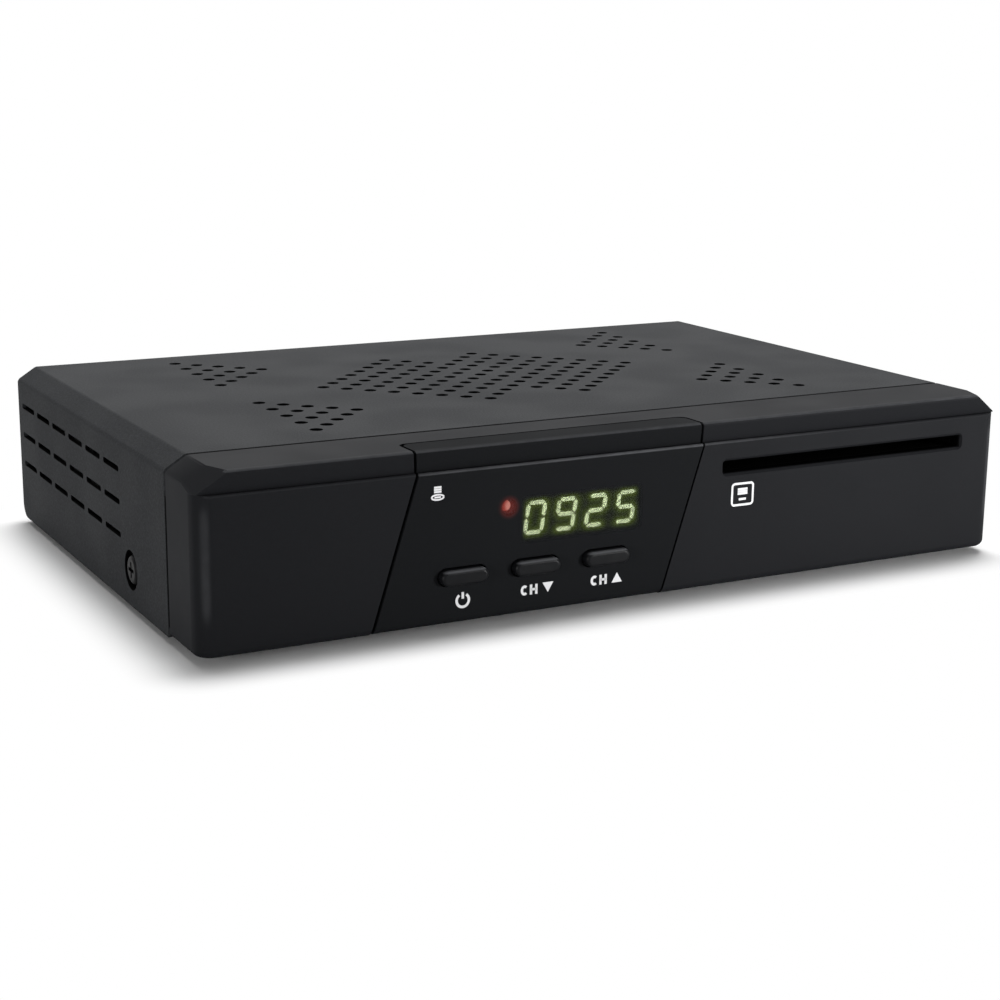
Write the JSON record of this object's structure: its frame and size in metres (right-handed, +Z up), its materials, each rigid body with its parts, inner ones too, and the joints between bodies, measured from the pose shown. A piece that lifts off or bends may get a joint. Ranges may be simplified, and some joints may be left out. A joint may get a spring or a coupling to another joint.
{
  "type": "satellite tv receiver",
  "caption": "Compact satellite receiver with a vented sheet metal cover, a black front with a raised display insert, green digits, push buttons and a smart card slot.",
  "frame": {"origin": "centre of the footprint at the underside of the feet", "axes": "+Z up, the front with the display faces -Y, +X to the right seen from the front"},
  "size_m": [0.169, 0.1214, 0.0329],
  "materials": {
    "casing_paint": "fine textured black paint",
    "panel_plastic": "satin black moulding",
    "insert_plastic": "smoked, half-gloss moulding",
    "button_plastic": "half-gloss black",
    "plunger_plastic": "plain moulding",
    "foot_rubber": "matt",
    "black_plastic": "matt black",
    "lit_green": "lit yellow-green",
    "dark_segment": "unlit",
    "lamp_red": "clear tinted lens, lit",
    "board_green": "solder resist",
    "cable_grey": "soft sleeve",
    "screw_steel": "black oxide",
    "bare_steel": "tinned",
    "aluminium": "bare",
    "nickel": "nickel plated",
    "contact_metal": "plated",
    "white_plastic": "plain",
    "orange_plastic": "plain",
    "pad_grey": "soft",
    "ferrite": "sintered ferrite"
  },
  "bodies": {
    "receiver": {"av_socket_body": "black_plastic", "av_socket_contacts": "contact_metal", "base_chassis": "casing_paint", "cable_headers": "black_plastic", "card_contacts": "contact_metal", "card_detect_switch": "black_plastic", "card_reader_cover": "bare_steel", "card_reader_frame": "black_plastic", "cover_rear_screws": "screw_steel", "cover_side_screws": "screw_steel", "crystal": "bare_steel", "dark_segments": "dark_segment", "data_socket_shell": "bare_steel", "data_socket_tongue": "black_plastic", "dc_jack_body": "black_plastic", "dc_jack_pin": "contact_metal", "digital_audio_body": "black_plastic", "digital_audio_insulator": "orange_plastic", "digital_audio_sleeve": "bare_steel", "display_insert": "insert_plastic", "display_module": "black_plastic", "electrolytic_capacitors": "aluminium", "f_connector_insulators": "white_plastic", "f_connector_nuts": "nickel", "f_connector_washers": "nickel", "flash_chip": "black_plastic", "front_board": "board_green", "front_board_screws": "screw_steel", "front_panel": "panel_plastic", "front_panel_screws": "screw_steel", "heatsink": "aluminium", "ir_receiver": "black_plastic", "lit_segments": "lit_green", "lnb_in_connector": "nickel", "lnb_out_connector": "nickel", "main_board": "board_green", "main_board_screws": "screw_steel", "main_processor": "black_plastic", "memory_chips": "black_plastic", "power_inductors": "ferrite", "ribbon_cable": "cable_grey", "rubber_feet": "foot_rubber", "status_led": "lamp_red", "tact_switches": "black_plastic", "thermal_pad": "pad_grey", "top_cover": "casing_paint", "tuner_frame": "bare_steel", "tuner_lid": "bare_steel", "video_socket_shell": "bare_steel", "video_socket_tongue": "black_plastic", "voltage_regulators": "black_plastic"},
    "power_key": {"power_button": "button_plastic", "power_plunger": "plunger_plastic"},
    "channel_down_key": {"channel_down_button": "button_plastic", "channel_down_plunger": "plunger_plastic"},
    "channel_up_key": {"channel_up_button": "button_plastic", "channel_up_plunger": "plunger_plastic"}
  },
  "joints": [
    {"name": "power_press", "type": "slide", "parent": "receiver", "child": "power_key", "axis": [0, 1, 0], "range_m": [0, 0.0005], "stiffness_N_per_m": 1500, "springref_m": -0.0002},
    {"name": "channel_down_press", "type": "slide", "parent": "receiver", "child": "channel_down_key", "axis": [0, 1, 0], "range_m": [0, 0.0005], "stiffness_N_per_m": 1500, "springref_m": -0.0002},
    {"name": "channel_up_press", "type": "slide", "parent": "receiver", "child": "channel_up_key", "axis": [0, 1, 0], "range_m": [0, 0.0005], "stiffness_N_per_m": 1500, "springref_m": -0.0002}
  ]
}
